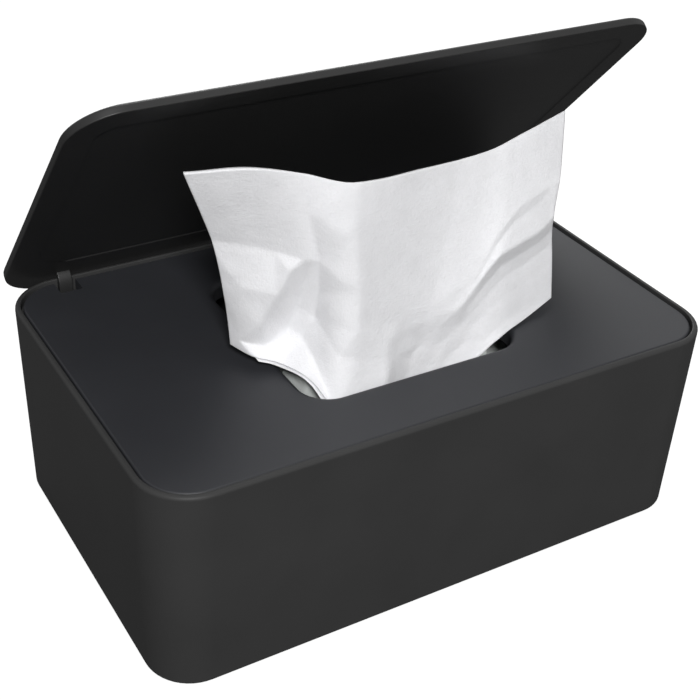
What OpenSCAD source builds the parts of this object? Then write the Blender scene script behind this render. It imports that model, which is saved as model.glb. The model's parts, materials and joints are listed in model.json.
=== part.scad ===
// Countertop wipes dispenser: a moulded box, a drop-in cover panel with a rolled opening,
// a flat lid on two gooseneck arms, and a stack of folded wipes with the top one pulled up.
// The origin is the centre of the base, on the surface that the box stands on.
// +X is to the right, +Y is towards the hinge at the back and +Z is up.

/* [Body] */
// Width of the box at its rim
body_w = 190; // [150:1:230]
// Depth of the box at its rim, front to back
body_d = 122; // [100:1:150]
// Height of the rim above the surface
body_h = 67; // [55:1:90]
// Plan radius of the box's upright corners at the rim
corner_r = 16.5; // [12:0.5:24]
// Distance that each wall leans in between the rim and the base
draft = 2.4; // [0:0.1:4]
// Thickness of the walls
wall = 1.8; // [1.5:0.1:2.4]
// Thickness of the floor
floor_t = 2.2; // [1.6:0.1:4]
// Radius on the rim's outer edge
rim_r = 1.2; // [0.6:0.1:1.4]
// Radius on the base's outer edge
base_r = 1; // [0.5:0.1:2]

/* [Feet] */
// Width of the ring that the base stands on
foot_ring = 7; // [4:0.5:12]
// Height of the underside above the surface, inside the ring
foot_h = 0.8; // [0.5:0.1:2]
// Diameter of each anti-slip pad
pad_d = 12; // [8:1:18]
// Distance from the ring to the nearest edge of a pad
pad_gap = 3; // [1:0.5:8]

/* [Cover panel] */
// Thickness of the panel's plate
panel_t = 2.2; // [1.6:0.1:3]
// Distance from the rim's top down to the panel's top
panel_sink = 0.6; // [0.2:0.1:2]
// Gap between the rim and the panel's edge
groove = 0.8; // [0.5:0.1:1.5]
// Width of the ledge under the panel's edge
bearing = 1.6; // [1:0.1:3]
// Radius on the panel's top edge
panel_edge_r = 0.7; // [0.3:0.1:1.2]
// Depth of the locating skirt under the plate
skirt_h = 8; // [4:0.5:14]
// Thickness of the skirt and of the opening's collar
skirt_t = 1.4; // [1:0.1:2]
// Running gap between the skirt and the ledge
skirt_gap = 0.4; // [0.2:0.1:1]

/* [Opening] */
// Width of the opening at its throat
opening_w = 73; // [60:1:84]
// Depth of the opening at its throat, front to back
opening_d = 73; // [60:1:84]
// Plan radius of the throat's corners
opening_r = 9; // [6:0.5:16]
// Radius of the lip that rolls from the panel's top into the throat
lip_r = 2.2; // [1.6:0.1:3]
// Depth of the collar below the plate
collar_h = 4; // [2:0.5:8]

/* [Lid] */
// Thickness of the lid
lid_t = 2.8; // [2.2:0.1:4]
// Gap between the rim and the closed lid
lid_gap = 1.05; // [0.8:0.05:2]
// Distance that the closed lid stands out behind the rim
lid_overhang = 3.9; // [3:0.1:6]
// How much tighter the lid's front corners are than the rim's, on the radius
front_tighter = 1.9; // [0:0.1:4]
// How much wider the lid's rear corners are than the rim's, on the radius
rear_wider = 4.9; // [0:0.1:8]
// Radius on the lid's top edge
lid_edge_r = 1; // [0.4:0.1:1.6]
// Depth of the shallow field in the lid's underside
field_depth = 0.3; // [0.1:0.05:0.6]
// Margin round the field at the lid's front and sides
field_margin = 8; // [5:0.5:14]
// Angle that the lid stands open at, from closed
open_angle = 48.65; // [44:0.05:50]

/* [Hinge] */
// Distance from the start of the rim's corner in to each arm's middle
hinge_in = 3.5; // [2:0.5:20]
// Distance from the rim's rear face forward to the hinge axis
axis_in = 4; // [3.8:0.1:5]
// Height of the hinge axis below the rim's top
axis_down = 6; // [5.5:0.1:7]
// Width of each arm
arm_w = 4.4; // [3:0.1:6]
// Width of each slot in the panel
slot_w = 7.2; // [6.4:0.1:9]
// Distance from the hinge axis forward to the slot's front end
slot_reach = 5.7; // [5.5:0.1:8]
// Diameter of each hinge pin
pin_d = 1.6; // [1.2:0.1:1.8]
// Running clearance round the pin in the arm's knuckle, on the radius
pin_play = 0.05; // [0.02:0.01:0.1]
// Radius of each arm's knuckle
knuckle_r = 1.7; // [1.5:0.05:1.8]
// Gap at each end of a knuckle
knuckle_gap = 0.3; // [0.2:0.05:0.5]
// Thickness of each cheek that holds a pin
cheek_t = 2; // [1.5:0.1:3]

/* [Wipes] */
// Room between the folded stack and the walls at the floor
stack_room = 15.8; // [3:0.1:16]
// Room between the stack's top and the panel's underside
headroom = 17.9; // [8:0.1:40]
// Rounding of the stack's edges
stack_r = 5; // [2:0.5:8]
// Gap between a wipe and what it lies beside
soft_gap = 0.3; // [0.3:0.05:0.6]
// Thickness of a wipe, which is folded in two
wipe_t = 1.2; // [0.8:0.05:1.4]
// Height that the raised wipe's left corner stands above the panel
wipe_rise = 66; // [40:1:68]
// Width of the raised wipe across its top
fan_w = 131; // [110:1:135]

/* [Hidden] */
$fn = 64;
cut = 1;                // how far a cutter, or a run, goes past what it cuts or joins
far = 1000;             // beyond any part of the box
arc_steps = 6;          // straight steps in a quarter of a small edge radius

body_black = [0.09, 0.09, 0.095];
panel_black = [0.12, 0.12, 0.13];
lid_black = [0.07, 0.07, 0.075];
pad_grey = [0.2, 0.2, 0.2];
steel = [0.7, 0.7, 0.72];
wipe_white = [0.92, 0.92, 0.93];

// Heights
floor_top = foot_h + floor_t;
panel_top = body_h - panel_sink;
ledge_top = panel_top - panel_t;
stack_bottom = floor_top + soft_gap;
stack_top = ledge_top - headroom;
lid_under = body_h + lid_gap;

// The ledge inside the rim, and the panel's plan
ledge_reach = wall + groove + bearing;
ledge_t = 1.6;
ledge_root = wall / 2;
ledge_foot = ledge_top - ledge_t - ledge_reach + ledge_root;
panel_inset = wall + groove;
panel_w = body_w - 2 * panel_inset;
panel_d = body_d - 2 * panel_inset;
panel_r = corner_r - panel_inset;
skirt_inset = bearing + skirt_gap;

// The folded stack's plan
stack_w = body_w - 2 * (wall + draft + stack_room);
stack_d = body_d - 2 * (wall + draft + stack_room);
stack_plan_r = stack_r + 1;

// Hinge
hinge_x = body_w / 2 - corner_r - hinge_in;
axis_y = body_d / 2 - axis_in;
axis_z = body_h - axis_down;
knuckle_w = slot_w - 2 * knuckle_gap;
pin_len = slot_w + 2 * cheek_t;
cheek_rear = 1.4;       // from the axis back to a cheek's rear face
cheek_front = 2.6;      // from the axis forward to its front face
cheek_under = 2.3;      // from the axis down to its lowest point
relief_gap = 1;         // from a cheek to the side of the ledge's relief
relief_depth = 4;       // from the knuckle forward to the relief's front

// Lid, closed
lid_w = body_w;
lid_d = body_d + lid_overhang;
lid_rear = body_d / 2 + lid_overhang;
lid_front_r = corner_r - front_tighter;
lid_rear_r = corner_r + rear_wider;
field_rear = 22;        // from the lid's rear edge to the field, clear of the arms

// ---- Plates with shaped edges ----

// An arc of radius r about c from angle a0 to a1, as points
function arc(c, r, a0, a1) =
    [for (i = [0:arc_steps]) let(a = a0 + (a1 - a0) * i / arc_steps) c + r * [cos(a), sin(a)]];

// The plan of a plate with front corners of radius rf and rear corners of radius rr
module plan(w, d, rf, rr) {
    polygon([
        [w / 2, -d / 2 + rf], [w / 2, d / 2 - rr], [w / 2 - rr, d / 2], [-w / 2 + rr, d / 2],
        [-w / 2, d / 2 - rr], [-w / 2, -d / 2 + rf], [-w / 2 + rf, -d / 2], [w / 2 - rf, -d / 2]
    ]);
    for (x = [-1, 1]) {
        translate([x * (w / 2 - rf), -d / 2 + rf]) circle(rf);
        translate([x * (w / 2 - rr), d / 2 - rr]) circle(rr);
    }
}

// Keeps what lies at x = from and beyond
module beyond(from) {
    intersection() {
        children();
        translate([from, -far]) square(2 * far);
    }
}

// A straight run of an edge, from just past the plate's middle out to half its size
module run(half, length) {
    rotate([90, 0, 0]) linear_extrude(length, center = true)
        beyond(-cut) translate([half, 0]) children();
}

// A corner of radius r about its own middle
module corner(r) {
    rotate_extrude() beyond(0) translate([r, 0]) children();
}

// A solid plate of that plan. Its edge follows a profile whose x is 0 at the plan's edge and
// negative inside, where it runs far past the plate's middle.
module plate(w, d, rf, rr) {
    for (side = [-1, 1]) {
        translate([side * (w / 2 - rf), rf - d / 2]) corner(rf) children();
        translate([side * (w / 2 - rr), d / 2 - rr]) corner(rr) children();
        translate([0, (rf - rr) / 2]) rotate([0, 0, side > 0 ? 0 : 180])
            run(w / 2, d - rf - rr) children();
    }
    rotate([0, 0, 270]) run(d / 2, w - 2 * rf) children();
    rotate([0, 0, 90]) run(d / 2, w - 2 * rr) children();
}

// ---- Body ----

// How far the outer face lies inside the rim's plan at height z
function lean(z) = draft * (1 - z / body_h);

module outer_profile() {
    polygon(concat(
        [[-far, 0]],
        arc([-lean(base_r) - base_r, base_r], base_r, 270, 360),
        arc([-lean(body_h - rim_r) - rim_r, body_h - rim_r], rim_r, 0, 90),
        [[-far, body_h]]
    ));
}

// The inside from the floor to the rim
module inner_profile() {
    polygon([
        [-far, floor_top], [-wall - lean(floor_top), floor_top], [-wall, body_h],
        [-wall, body_h + cut], [-far, body_h + cut]
    ]);
}

// The ledge's top and underside, rooted in the middle of the wall
module ledge_profile() {
    polygon([
        [-far, ledge_foot], [-ledge_root, ledge_foot], [-ledge_root, ledge_top], [-far, ledge_top]
    ]);
}

// What lies inside the ledge and under its slope
module within_ledge_profile() {
    polygon([
        [-far, ledge_foot - cut], [-ledge_root + cut, ledge_foot - cut],
        [-ledge_reach, ledge_top - ledge_t], [-ledge_reach, ledge_top + cut],
        [-far, ledge_top + cut]
    ]);
}

// The room that the ledge leaves for the cheeks and the arm's knuckle
module hinge_relief(x) {
    relief_w = slot_w + 2 * (cheek_t + relief_gap);
    relief_front = axis_y - knuckle_r - relief_depth;
    translate([x - relief_w / 2, relief_front, ledge_foot - cut])
        cube([relief_w, body_d / 2 - relief_front, ledge_top - ledge_foot + 2 * cut]);
}

// The ledge that carries the panel
module ledge() {
    difference() {
        plate(body_w, body_d, corner_r, corner_r) ledge_profile();
        plate(body_w, body_d, corner_r, corner_r) within_ledge_profile();
        for (x = [-hinge_x, hinge_x]) hinge_relief(x);
    }
}

module body_shell() {
    underside_inset = draft + foot_ring;
    color(body_black) {
        difference() {
            plate(body_w, body_d, corner_r, corner_r) outer_profile();
            plate(body_w, body_d, corner_r, corner_r) inner_profile();
            translate([0, 0, -cut]) linear_extrude(foot_h + cut)
                plan(body_w - 2 * underside_inset, body_d - 2 * underside_inset,
                    corner_r - underside_inset, corner_r - underside_inset);
        }
        ledge();
    }
}

// One anti-slip pad in the underside's corner; side and end are -1 or 1
module foot_pad(side, end) {
    inset = draft + foot_ring + pad_gap + pad_d / 2;
    color(pad_grey)
        translate([side * (body_w / 2 - inset), end * (body_d / 2 - inset), 0]) {
            cylinder(h = foot_h / 2, d1 = pad_d - foot_h, d2 = pad_d);
            translate([0, 0, foot_h / 2]) cylinder(h = foot_h / 2, d = pad_d);
        }
}

// ---- Cover panel ----

module panel_profile() {
    polygon(concat(
        [[-far, ledge_top], [0, ledge_top]],
        arc([-panel_edge_r, panel_top - panel_edge_r], panel_edge_r, 0, 90),
        [[-far, panel_top]]
    ));
}

// What is cut away for the opening: its lip rolls from the panel's top down to the throat
module throat_profile() {
    polygon(concat(
        [[-far, ledge_top - collar_h - cut], [-lip_r, ledge_top - collar_h - cut]],
        arc([0, panel_top - lip_r], lip_r, 180, 90),
        [[0, panel_top + cut], [-far, panel_top + cut]]
    ));
}

module throat() {
    plate(opening_w + 2 * lip_r, opening_d + 2 * lip_r, opening_r + lip_r, opening_r + lip_r)
        throat_profile();
}

module collar() {
    translate([0, 0, ledge_top - collar_h]) linear_extrude(collar_h + panel_t / 2)
        plan(opening_w + 2 * skirt_t, opening_d + 2 * skirt_t, opening_r + skirt_t,
            opening_r + skirt_t);
}

module skirt_plan(inset) {
    plan(panel_w - 2 * inset, panel_d - 2 * inset, panel_r - inset, panel_r - inset);
}

module skirt() {
    translate([0, 0, ledge_top - skirt_h]) linear_extrude(skirt_h + panel_t / 2) difference() {
        skirt_plan(skirt_inset);
        skirt_plan(skirt_inset + skirt_t);
    }
}

module slot(x) {
    translate([x - slot_w / 2, axis_y - slot_reach, ledge_top - skirt_h - cut])
        cube([slot_w, slot_reach + axis_in, skirt_h + panel_t + 2 * cut]);
}

// The two cheeks beside a slot, each with a hole for the pin
module cheeks(x) {
    for (side = [-1, 1]) translate([x + side * (slot_w + cheek_t) / 2, axis_y, axis_z]) {
        rotate([90, 0, 90]) linear_extrude(cheek_t, center = true) difference() {
            translate([-cheek_front, -cheek_under])
                square([cheek_front + cheek_rear, cheek_under + ledge_top - axis_z + panel_t / 2]);
            circle(d = pin_d);
        }
    }
}

module pin_hole(x) {
    translate([x, axis_y, axis_z]) rotate([0, 90, 0])
        cylinder(h = pin_len, d = pin_d, center = true);
}

module inner_panel() {
    color(panel_black) {
        difference() {
            union() {
                plate(panel_w, panel_d, panel_r, panel_r) panel_profile();
                collar();
                skirt();
            }
            throat();
            for (x = [-hinge_x, hinge_x]) {
                slot(x);
                pin_hole(x);
            }
        }
        for (x = [-hinge_x, hinge_x]) cheeks(x);
    }
}

module hinge_pin(x) {
    color(steel) pin_hole(x);
}

// ---- Lid ----

module lid_profile() {
    lower_r = lid_edge_r / 3;
    polygon(concat(
        [[-far, 0]],
        arc([-lower_r, lower_r], lower_r, 270, 360),
        arc([-lid_edge_r, lid_t - lid_edge_r], lid_edge_r, 0, 90),
        [[-far, lid_t]]
    ));
}

module lid_plate() {
    difference() {
        plate(lid_w, lid_d, lid_front_r, lid_rear_r) lid_profile();
        translate([0, (field_margin - field_rear) / 2, -cut]) linear_extrude(field_depth + cut)
            plan(lid_w - 2 * field_margin, lid_d - field_margin - field_rear,
                lid_front_r - field_margin / 2, lid_front_r - field_margin / 2);
    }
}

// Side view of a gooseneck arm about the hinge axis, with the lid closed. It leans forward
// below the lid so that it clears the rear rim when the lid is open.
module arm_profile() {
    root = lid_under - axis_z + lid_t / 2;
    polygon([
        [-1.5, -0.8], [-1.9, 1], [-4.6, 3.7], [-5.3, 6], [-5.3, root], [-3.5, root],
        [-3.5, 5.5], [-0.3, 2.75], [1.4, 0.9]
    ]);
}

module arm(x) {
    translate([x, axis_y, axis_z]) difference() {
        union() {
            rotate([90, 0, 90]) linear_extrude(arm_w, center = true) arm_profile();
            rotate([0, 90, 0]) cylinder(h = knuckle_w, r = knuckle_r, center = true);
        }
        rotate([0, 90, 0]) cylinder(h = knuckle_w + 2 * cut, r = pin_d / 2 + pin_play, center = true);
    }
}

module closed_lid() {
    translate([0, lid_rear - lid_d / 2, lid_under]) lid_plate();
    for (x = [-hinge_x, hinge_x]) arm(x);
}

module lid() {
    color(lid_black) translate([0, axis_y, axis_z]) rotate([-open_angle, 0, 0])
        translate([0, -axis_y, -axis_z]) closed_lid();
}

// ---- Wipes ----

module stack_profile() {
    polygon(concat(
        [[-far, stack_bottom]],
        arc([-stack_r, stack_bottom + stack_r], stack_r, 270, 360),
        arc([-stack_r, stack_top - stack_r], stack_r, 0, 90),
        [[-far, stack_top]]
    ));
}

module wipe_stack() {
    color(wipe_white) plate(stack_w, stack_d, stack_plan_r, stack_plan_r) stack_profile();
}

// A smooth curve through the points p, at k from 0 to 1
function along(p, k) =
    let(last = len(p) - 1, u = k * last, i = max(0, min(floor(u), last - 1)), f = u - i,
        a = p[max(i - 1, 0)], b = p[i], c = p[i + 1], d = p[min(i + 2, last)])
    (2 * b + (c - a) * f + (2 * a - 5 * b + 4 * c - d) * f ^ 2
        + (3 * b - a - 3 * c + d) * f ^ 3) / 2;

// The place on a cloth at s across and r up it, as [x, y, z]. Its four edges are curves.
function patch(e, s, r) =
    (1 - r) * along(e[0], s) + r * along(e[1], s) + (1 - s) * along(e[2], r) + s * along(e[3], r)
    - (1 - s) * (1 - r) * e[0][0] - s * (1 - r) * e[0][len(e[0]) - 1]
    - (1 - s) * r * e[1][0] - s * r * e[1][len(e[1]) - 1];

// The cloth's outward direction there
function outward(e, s, r) =
    let(h = 0.01, n = cross(patch(e, s + h, r) - patch(e, s - h, r),
        patch(e, s, r + h) - patch(e, s, r - h))) n / norm(n);

// How far a fold lifts the cloth at p. A fold is [from, to, height, width], seen from the front.
function seen(p) = [p[0], p[2]];
function fold(f, p) =
    let(q = seen(p) - seen(f[0]), line = seen(f[1]) - seen(f[0]),
        k = max(0, min(1, q * line / (line * line))), gap = norm(q - k * line))
    drape * f[2] * exp(-(gap / drape / f[3]) ^ 2);

function lift(folds, p, i = 0) = i == len(folds) ? 0 : fold(folds[i], p) + lift(folds, p, i + 1);

// A closed sheet of triangles, columns by rows points on each side
module cloth(e, folds, columns, rows) {
    side = columns * rows;
    points = [for (half = [1, -1]) for (j = [0:rows - 1]) for (i = [0:columns - 1])
        let(s = i / (columns - 1), r = j / (rows - 1), p = patch(e, s, r))
            p + outward(e, s, r) * (lift(folds, p) + half * wipe_t / 2)];
    front = [for (j = [0:rows - 2]) for (i = [0:columns - 2]) let(a = j * columns + i)
        each [[a, a + columns, a + 1], [a + 1, a + columns, a + columns + 1]]];
    back = [for (t = front) [t[0] + side, t[2] + side, t[1] + side]];
    border = concat(
        [for (i = [0:columns - 2]) [i, i + 1]],
        [for (j = [0:rows - 2]) [(j + 1) * columns - 1, (j + 2) * columns - 1]],
        [for (i = [columns - 1:-1:1]) [(rows - 1) * columns + i, (rows - 1) * columns + i - 1]],
        [for (j = [rows - 1:-1:1]) [j * columns, (j - 1) * columns]]);
    rim = [for (b = border) each [[b[0], b[1], b[0] + side], [b[1], b[1] + side, b[0] + side]]];
    polyhedron(points, concat(front, back, rim));
}

// The throat's sides, the front plane that the raised wipe hangs in, and its lowest point
throat_x = opening_w / 2;
bulge = 0.7;            // room for the wipe to swell towards the throat's front
front_y = soft_gap + wipe_t / 2 + bulge - opening_d / 2;
wipe_low = stack_top + soft_gap;

// The wipe's folds and edges are drawn on a fan 131 mm wide, and keep their shape on others
drape = fan_w / 131;

// A place on the wipe: from the throat's left (-1) or right (1) side, the front plane and z
function hung(side, z, from) = [side * throat_x, front_y, z] + drape * from;
function between(a, b, k, from) = a + (b - a) * k + drape * from;

// The raised wipe: its hem runs over the lip on the left, down to the stack in the middle
// and up again to a free corner on the right
raised_hem = [
    hung(-1, panel_top, [-8.5, 33, 2.4]), hung(-1, panel_top, [-5.5, 25, 2]),
    hung(-1, panel_top, [0, 17.5, 1.8]), hung(-1, panel_top, [3.6, 7, 1.4]),
    hung(-1, panel_top, [8.5, 0, -6]), hung(-1, wipe_low, [22, 0.4, 1.6]),
    hung(0, wipe_low, [0, 0.4, 1.6]), hung(1, panel_top, [-20, 0, -6]),
    hung(1, panel_top, [-8, 0, 1.6]), hung(1, panel_top, [5.5, 3.6, 3.6]),
    hung(1, panel_top, [17.4, 7, 5.7])
];
raised_top = [
    hung(0, panel_top + wipe_rise, [-64.5, 23, 0]),
    hung(0, panel_top + wipe_rise, [-48, 18, 0.2]),
    hung(0, panel_top + wipe_rise, [-34, 15, -2.6]),
    hung(0, panel_top + wipe_rise, [-17.5, 12, -7.6]),
    hung(0, panel_top + wipe_rise, [10, 17, -10.6]),
    hung(0, panel_top + wipe_rise, [33, 21, -11.6]),
    hung(0, panel_top + wipe_rise, [46.5, 23, -9.5]),
    hung(0, panel_top + wipe_rise, [66.7, 27, -6.5])
];
top_left = raised_top[0];
top_right = raised_top[len(raised_top) - 1];
hem_left = raised_hem[0];
hem_right = raised_hem[len(raised_hem) - 1];
raised_left = [
    hem_left, between(hem_left, top_left, 0.28, [2.4, 1.3, 0]),
    between(hem_left, top_left, 0.6, [2.5, 0.5, 0]), top_left
];
raised_right = [
    hem_right, between(hem_right, top_right, 0.23, [-2.2, -1.6, 0]),
    between(hem_right, top_right, 0.45, [-3.2, -1.1, 0]),
    between(hem_right, top_right, 0.69, [-1.2, -0.8, 0]), top_right
];

// Its folds as [from, to, height, width]: a flap's ridge and the valley beside it on the
// left, and a ridge over a valley fanning out to the right edge
raised_folds = [
    [hung(-1, panel_top, [3, 0, 34]), hung(-1, panel_top, [-6, 0, 8]), 4.5, 9],
    [hung(-1, panel_top, [13, 0, 30]), hung(-1, panel_top, [4, 0, 8]), -4.5, 9],
    [hung(1, panel_top, [20, 0, 38]), hung(1, panel_top, [-16, 0, 19]), 3.2, 9],
    [hung(1, panel_top, [18, 0, 22]), hung(1, panel_top, [-12, 0, 10]), -3, 9]
];

module raised_wipe() {
    color(wipe_white)
        cloth([raised_hem, raised_top, raised_left, raised_right], raised_folds, 26, 23);
}

// The next wipe: a low curtain of cloth from the stack up to just below the panel's top
next_top = [
    hung(-1, panel_top, [2.2, 23, -0.8]), hung(-1, panel_top, [2, 15.5, -0.8]),
    hung(-1, panel_top, [2.8, 9.2, -2.5]), hung(-1, panel_top, [9.2, 5.4, -2.5]),
    hung(0, panel_top, [-14, 7.3, -2.5]), hung(0, panel_top, [4, 7.3, -2.5]),
    hung(1, panel_top, [-18, 5.2, -2.5]), hung(1, panel_top, [-8, 2.4, -0.8])
];
next_low = [for (p = next_top) [p[0], p[1], wipe_low]];

module next_wipe() {
    last = len(next_top) - 1;
    sides = [for (k = [0, last]) [next_low[k], next_top[k]]];
    color(wipe_white) cloth([next_low, next_top, sides[0], sides[1]], [], 30, 6);
}

body_shell();
foot_pad(-1, -1);  // foot_pad_front_left
foot_pad(1, -1);  // foot_pad_front_right
foot_pad(-1, 1);  // foot_pad_rear_left
foot_pad(1, 1);  // foot_pad_rear_right
wipe_stack();
next_wipe();
inner_panel();
hinge_pin(-hinge_x);  // hinge_pin_left
hinge_pin(hinge_x);  // hinge_pin_right
raised_wipe();
lid();
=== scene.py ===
"""Countertop wipes dispenser, dressed for rendering.

A moulded box with a drop-in cover panel, a flat lid on two gooseneck arms, and a stack of
folded wipes. The top wipe is pulled up and the next one stands in the opening.
"""

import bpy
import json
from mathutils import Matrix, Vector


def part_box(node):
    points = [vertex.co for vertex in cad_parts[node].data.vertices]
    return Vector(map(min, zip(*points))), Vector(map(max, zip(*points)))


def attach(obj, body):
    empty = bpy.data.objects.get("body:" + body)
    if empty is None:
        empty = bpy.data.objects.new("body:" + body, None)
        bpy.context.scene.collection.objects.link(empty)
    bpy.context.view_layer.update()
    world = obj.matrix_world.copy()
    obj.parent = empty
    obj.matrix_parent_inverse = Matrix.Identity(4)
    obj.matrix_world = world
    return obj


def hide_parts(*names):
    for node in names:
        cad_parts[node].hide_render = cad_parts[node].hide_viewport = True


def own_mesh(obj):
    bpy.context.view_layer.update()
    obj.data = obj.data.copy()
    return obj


bl_info = {
    "name": "Countertop wipes dispenser",
    "version": (1, 0, 0),
    "blender": (4, 5, 0),
    "location": "3D View > Sidebar > Wipes",
    "description": "A flip-lid box of folded wipes with one wipe pulled up",
    "category": "Object",
}

import json
import math

import bmesh
import bpy
from bpy.props import FloatProperty, FloatVectorProperty, IntProperty, PointerProperty
from bpy.types import Operator, Panel, PropertyGroup
from mathutils import Matrix, Vector, noise
from mathutils.bvhtree import BVHTree
from mathutils.geometry import delaunay_2d_cdt

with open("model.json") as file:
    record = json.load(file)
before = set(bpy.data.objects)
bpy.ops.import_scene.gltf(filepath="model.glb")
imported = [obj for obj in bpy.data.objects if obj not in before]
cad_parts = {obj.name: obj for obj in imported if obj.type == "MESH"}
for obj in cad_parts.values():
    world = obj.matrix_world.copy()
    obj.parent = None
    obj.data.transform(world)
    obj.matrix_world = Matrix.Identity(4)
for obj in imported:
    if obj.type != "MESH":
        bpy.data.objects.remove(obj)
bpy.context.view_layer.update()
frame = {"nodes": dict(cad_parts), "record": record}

MM = 0.001
body_low, body_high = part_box("body_shell")
panel_low, panel_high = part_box("inner_panel")
stack_low, stack_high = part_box("wipe_stack")
hinge = next(
    joint for joint in frame["record"]["behaviour"]["joints"]
    if joint["name"] == "lid_hinge")


# ---- Sizes and colours ----

def length(name, description, millimetres):
    """A size in the sidebar, given in millimetres."""
    return FloatProperty(
        name=name, description=description, default=millimetres * MM, min=0.0,
        precision=4, subtype="DISTANCE", unit="LENGTH")


def colour(name, description, shade):
    """A colour in the sidebar."""
    return FloatVectorProperty(
        name=name, description=description, default=shade, min=0.0, max=1.0, size=3,
        subtype="COLOR")


class BoxSizes(PropertyGroup):
    width: length("Width", "Width at the rim", (body_high.x - body_low.x) / MM)
    depth: length("Depth", "Depth at the rim", (body_high.y - body_low.y) / MM)
    height: length("Height", "Height of the rim", body_high.z / MM)
    corner: length("Corner", "Plan radius of the upright corners", 16.5)
    lean: length("Lean", "How far each wall leans in at the base", 2.4)
    wall: length("Wall", "Thickness of the walls", 1.8)
    floor: length("Floor", "Height of the floor's top", 3)
    ring: length("Ring", "Width of the standing ring", 7)
    recess: length("Recess", "Height of the underside inside the ring", 0.8)
    ledge: length("Ledge", "Distance from the rim's edge to the ledge's lip", 4.2)
    ledge_drop: length("Ledge drop", "Depth of the ledge below the rim", 2.8)
    rim_round: length("Rim rounding", "Radius on the rim's outer edge", 1.2)
    base_round: length("Base rounding", "Radius on the base's outer edge", 1)


class CoverSizes(PropertyGroup):
    inset: length("Inset", "Distance from the rim's edge to the panel's edge", 2.6)
    thickness: length("Thickness", "Thickness of the plate", 2.2)
    edge_round: length("Edge rounding", "Radius on the plate's top edge", 0.7)
    skirt_in: length("Skirt inset", "Distance from the panel's edge to the skirt", 2)
    skirt: length("Skirt", "Thickness of the skirt and the collar", 1.4)
    skirt_depth: length("Skirt depth", "Depth of the skirt under the plate", 8)
    opening: length("Opening", "Width and depth of the opening's throat", 73)
    opening_corner: length("Opening corner", "Plan radius of the throat's corners", 9)
    lip: length("Lip", "Radius of the opening's rolled lip", 2.2)
    collar: length("Collar", "Depth of the collar under the plate", 4)
    slot: length("Slot", "Width of the slot for each arm", 7.2)
    slot_reach: length(
        "Slot reach", "Distance from the hinge axis to the slot's front", 5.7)
    cheek: length("Cheek", "Thickness of the cheeks that hold the pins", 2)


class LidSizes(PropertyGroup):
    thickness: length("Thickness", "Thickness of the lid", 2.8)
    rise: length("Rise", "Height of the closed lid's underside above the hinge axis", 7.05)
    overhang: length("Overhang", "How far the closed lid stands out behind the rim", 3.9)
    front_corner: length("Front corner", "Plan radius of the front corners", 14.6)
    rear_corner: length("Rear corner", "Plan radius of the rear corners", 21.4)
    edge_round: length("Edge rounding", "Radius on the top edge", 1)
    margin: length("Margin", "Margin round the underside's shallow field", 8)
    rear_margin: length("Rear margin", "Margin of that field at the rear", 22)
    field: length("Field", "Depth of that field", 0.3)
    arm: length("Arm", "Width of each arm", 4.4)
    arm_place: length("Arm place", "Distance of each arm from the middle", 75)
    knuckle: length("Knuckle", "Radius of each arm's knuckle", 1.7)
    knuckle_width: length("Knuckle width", "Width of each knuckle", 6.6)
    bore: length("Bore", "Radius of the hole for the pin", 0.85)
    opened: FloatProperty(
        name="Opened", description="Angle that the lid stands open at",
        default=math.radians(hinge["range_deg"][1]), subtype="ANGLE", unit="ROTATION")


class WipeSizes(PropertyGroup):
    width: length("Width", "Width of a flat wipe", 148)
    length: length("Length", "Length of a flat wipe, before it is folded in two", 158)
    thickness: length("Thickness", "Thickness of the cloth", 0.25)
    loft: length("Loft", "Distance between the two layers of the raised wipe", 0.8)
    count: IntProperty(
        name="Count", description="Wipes in the folded stack", default=34, min=2, max=60)
    columns: IntProperty(
        name="Columns", description="Columns of faces across the raised wipe", default=150,
        min=20, max=200)
    rows: IntProperty(
        name="Rows", description="Rows of faces up each layer of the raised wipe",
        default=110, min=20, max=160)


class Colours(PropertyGroup):
    box: colour("Box", "Moulded box", (0.041, 0.041, 0.041))
    cover: colour("Cover panel", "Cover panel", (0.027, 0.028, 0.032))
    lid: colour("Lid", "Lid", (0.020, 0.020, 0.020))
    pad: colour("Pads", "Anti-slip pads", (0.045, 0.045, 0.045))
    pin: colour("Pins", "Hinge pins", (0.55, 0.55, 0.57))
    wipe: colour("Wipes", "Dry nonwoven cloth", (0.83, 0.83, 0.85))
    # Painted shade: the next wipe is the same white cloth as the stack, coloured darker
    # grey-green for the shade deep in the opening
    painted_shade_wipe: colour("Next wipe", "Cloth deep in the opening", (0.56, 0.585, 0.57))
    floor: colour("Floor", "Studio floor", (0.86, 0.86, 0.86))


class Dispenser(PropertyGroup):
    box: PointerProperty(type=BoxSizes, name="Box", description="Sizes of the box")
    cover: PointerProperty(
        type=CoverSizes, name="Cover panel", description="Sizes of the cover panel")
    lid: PointerProperty(type=LidSizes, name="Lid", description="Sizes of the lid")
    wipes: PointerProperty(type=WipeSizes, name="Wipes", description="Sizes of the wipes")
    colours: PointerProperty(type=Colours, name="Colours", description="Colours")


# ---- Materials ----

class Reading:
    """A number that varies over a surface. Arithmetic on it adds Math nodes."""

    def __init__(self, finish, socket):
        self.finish = finish
        self.socket = socket

    def maths(self, operation, first, second):
        made = self.finish.node(
            "ShaderNodeMath", {"operation": operation}, {0: first, 1: second})
        return Reading(self.finish, made.outputs[0])

    def __add__(self, other):
        return self.maths("ADD", self, other)

    def __mul__(self, other):
        return self.maths("MULTIPLY", self, other)

    __radd__ = __add__
    __rmul__ = __mul__


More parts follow.
